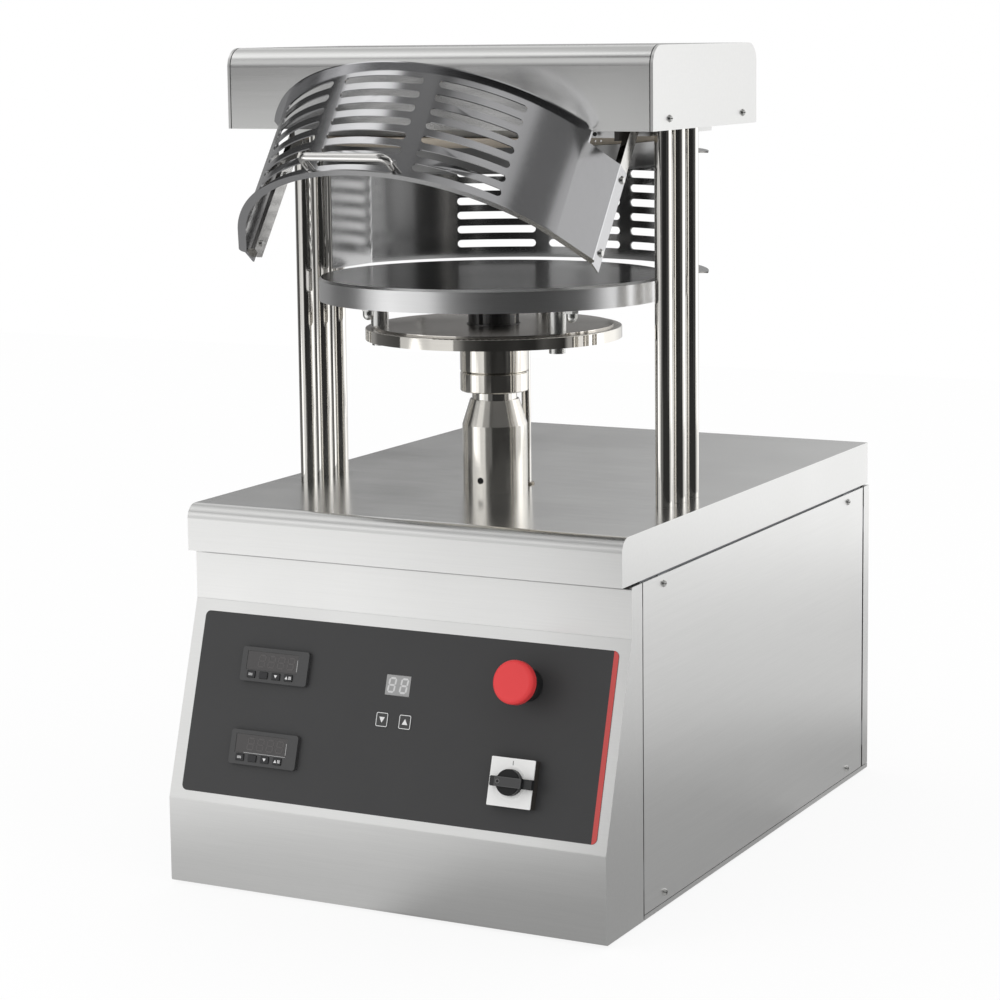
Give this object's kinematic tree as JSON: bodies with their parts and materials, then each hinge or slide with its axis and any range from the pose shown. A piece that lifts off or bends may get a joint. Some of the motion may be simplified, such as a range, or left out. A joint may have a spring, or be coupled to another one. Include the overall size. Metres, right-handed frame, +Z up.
{
  "type": "heated pizza press",
  "caption": "Countertop heated pizza press: rising lower platen, fixed upper platen on columns, slotted swing-up guard, sloping control console.",
  "frame": {"origin": "on the surface the press stands on, at the centre of the cabinet's footprint", "axes": "+X to the object's right as seen by the operator, +Y from the console to the rear, +Z up"},
  "size_m": [0.5088, 0.7855, 0.8673],
  "materials": {
    "steel_panel": "brushed stainless sheet",
    "steel_bright": "bright ground steel",
    "plated_column": "hard chromed and polished",
    "guard_sheet": "polished stainless sheet",
    "platen_plate": "ground and hard chromed",
    "zinc": "zinc plated",
    "frame_steel": "primed steel",
    "insulation": "mineral board",
    "bronze": "sintered bronze",
    "cam_steel": "hardened steel",
    "gearbox_alloy": "cast alloy",
    "motor_alloy": "finned alloy",
    "gear_plastic": "moulded housings",
    "overlay_film": "printed polyester film",
    "black_plastic": "moulded black",
    "window": "smoked window",
    "key_rubber": "moulded key",
    "arrow_key": "printed key",
    "red_plastic": "moulded red",
    "white_plastic": "moulded pale grey",
    "foot_rubber": "moulded foot",
    "switch_dark": "moulded switch body"
  },
  "bodies": {
    "base": {"bottom_tray": "steel_panel", "rubber_feet": "foot_rubber", "front_panel": "steel_panel", "right_side_panel": "steel_panel", "left_side_panel": "steel_panel", "rear_panel": "steel_panel", "worktop_cover": "steel_panel", "panel_screws": "zinc", "press_frame": "frame_steel", "columns": "plated_column", "column_nuts": "zinc", "head_beam": "steel_bright", "head_cover": "steel_panel", "head_end_plates": "steel_panel", "upper_platen": "platen_plate", "insulation_disc": "insulation", "platen_bolts": "zinc", "guide_sleeve": "steel_bright", "guide_bushes": "bronze", "gearbox": "gearbox_alloy", "motor": "motor_alloy", "drive_bracket": "frame_steel", "control_gear": "gear_plastic", "rear_guard": "guard_sheet", "rear_guard_brackets": "steel_bright", "guard_pivots": "zinc", "guard_switches": "switch_dark", "console_overlay": "overlay_film", "controllers": "black_plastic", "display_windows": "window", "estop_body": "black_plastic", "switch_base": "black_plastic", "switch_plate": "white_plastic"},
    "lift": {"lower_platen": "platen_plate", "platen_spacers": "steel_bright", "acorn_nuts": "plated_column", "carrier_disc": "steel_bright", "carrier_fasteners": "zinc", "lift_shaft": "plated_column", "lift_collars": "steel_bright", "guide_rod": "plated_column"},
    "cam_drive": {"cam": "cam_steel"},
    "roller": {"follower_roller": "cam_steel"},
    "guard": {"front_guard": "guard_sheet", "guard_arms": "steel_bright", "guard_fasteners": "plated_column", "guard_handle": "plated_column"},
    "estop_slide": {"estop_stem": "black_plastic"},
    "estop_head": {"estop_button": "red_plastic"},
    "switch_turn": {"switch_knob": "black_plastic"},
    "upper_key_1_cap": {"upper_key_1": "key_rubber"},
    "upper_key_2_cap": {"upper_key_2": "key_rubber"},
    "upper_key_3_cap": {"upper_key_3": "key_rubber"},
    "upper_key_4_cap": {"upper_key_4": "key_rubber"},
    "lower_key_1_cap": {"lower_key_1": "key_rubber"},
    "lower_key_2_cap": {"lower_key_2": "key_rubber"},
    "lower_key_3_cap": {"lower_key_3": "key_rubber"},
    "lower_key_4_cap": {"lower_key_4": "key_rubber"},
    "down_key_cap": {"down_key": "arrow_key"},
    "up_key_cap": {"up_key": "arrow_key"}
  },
  "joints": [
    {"name": "platen_lift", "type": "slide", "parent": "base", "child": "lift", "axis": [0, 0, 1], "range_m": [0, 0.112]},
    {"name": "cam_turn", "type": "hinge", "parent": "base", "child": "cam_drive", "pos_m": [0, -0.1045, 0.16], "axis": [-1, 0, 0], "range_deg": [0, 280]},
    {"name": "roller_spin", "type": "hinge", "parent": "lift", "child": "roller", "pos_m": [0, -0.1045, 0.205], "axis": [1, 0, 0], "continuous": true},
    {"name": "guard_swing", "type": "hinge", "parent": "base", "child": "guard", "pos_m": [0, -0.1631, 0.7964], "axis": [1, 0, 0], "range_deg": [0, 36.2]},
    {"name": "estop_press", "type": "slide", "parent": "base", "child": "estop_slide", "axis": [0, 0.9549, -0.2969], "range_m": [0, 0.004], "stiffness_N_per_m": 800, "springref_m": -0.002},
    {"name": "estop_twist", "type": "hinge", "parent": "estop_slide", "child": "estop_head", "pos_m": [0.1465, -0.32124, 0.24177], "axis": [0, 0.9549, -0.2969], "range_deg": [0, 35], "stiffness_Nm_per_rad": 0.05},
    {"name": "main_switch_turn", "type": "hinge", "parent": "base", "child": "switch_turn", "pos_m": [0.1465, -0.35004, 0.14914], "axis": [0, 0.9549, -0.2969], "range_deg": [0, 90]},
    {"name": "upper_key_1_press", "type": "slide", "parent": "base", "child": "upper_key_1_cap", "axis": [0, 0.9549, -0.2969], "range_m": [0, 0.001], "stiffness_N_per_m": 400, "springref_m": -0.0005},
    {"name": "upper_key_2_press", "type": "slide", "parent": "base", "child": "upper_key_2_cap", "axis": [0, 0.9549, -0.2969], "range_m": [0, 0.001], "stiffness_N_per_m": 400, "springref_m": -0.0005},
    {"name": "upper_key_3_press", "type": "slide", "parent": "base", "child": "upper_key_3_cap", "axis": [0, 0.9549, -0.2969], "range_m": [0, 0.001], "stiffness_N_per_m": 400, "springref_m": -0.0005},
    {"name": "upper_key_4_press", "type": "slide", "parent": "base", "child": "upper_key_4_cap", "axis": [0, 0.9549, -0.2969], "range_m": [0, 0.001], "stiffness_N_per_m": 400, "springref_m": -0.0005},
    {"name": "lower_key_1_press", "type": "slide", "parent": "base", "child": "lower_key_1_cap", "axis": [0, 0.9549, -0.2969], "range_m": [0, 0.001], "stiffness_N_per_m": 400, "springref_m": -0.0005},
    {"name": "lower_key_2_press", "type": "slide", "parent": "base", "child": "lower_key_2_cap", "axis": [0, 0.9549, -0.2969], "range_m": [0, 0.001], "stiffness_N_per_m": 400, "springref_m": -0.0005},
    {"name": "lower_key_3_press", "type": "slide", "parent": "base", "child": "lower_key_3_cap", "axis": [0, 0.9549, -0.2969], "range_m": [0, 0.001], "stiffness_N_per_m": 400, "springref_m": -0.0005},
    {"name": "lower_key_4_press", "type": "slide", "parent": "base", "child": "lower_key_4_cap", "axis": [0, 0.9549, -0.2969], "range_m": [0, 0.001], "stiffness_N_per_m": 400, "springref_m": -0.0005},
    {"name": "down_key_press", "type": "slide", "parent": "base", "child": "down_key_cap", "axis": [0, 0.9549, -0.2969], "range_m": [0, 0.0008], "stiffness_N_per_m": 400, "springref_m": -0.0005},
    {"name": "up_key_press", "type": "slide", "parent": "base", "child": "up_key_cap", "axis": [0, 0.9549, -0.2969], "range_m": [0, 0.0008], "stiffness_N_per_m": 400, "springref_m": -0.0005}
  ],
  "couplings": [
    {"joint": "cam_turn", "follows": "platen_lift", "rad_per_m": 43.63}
  ]
}
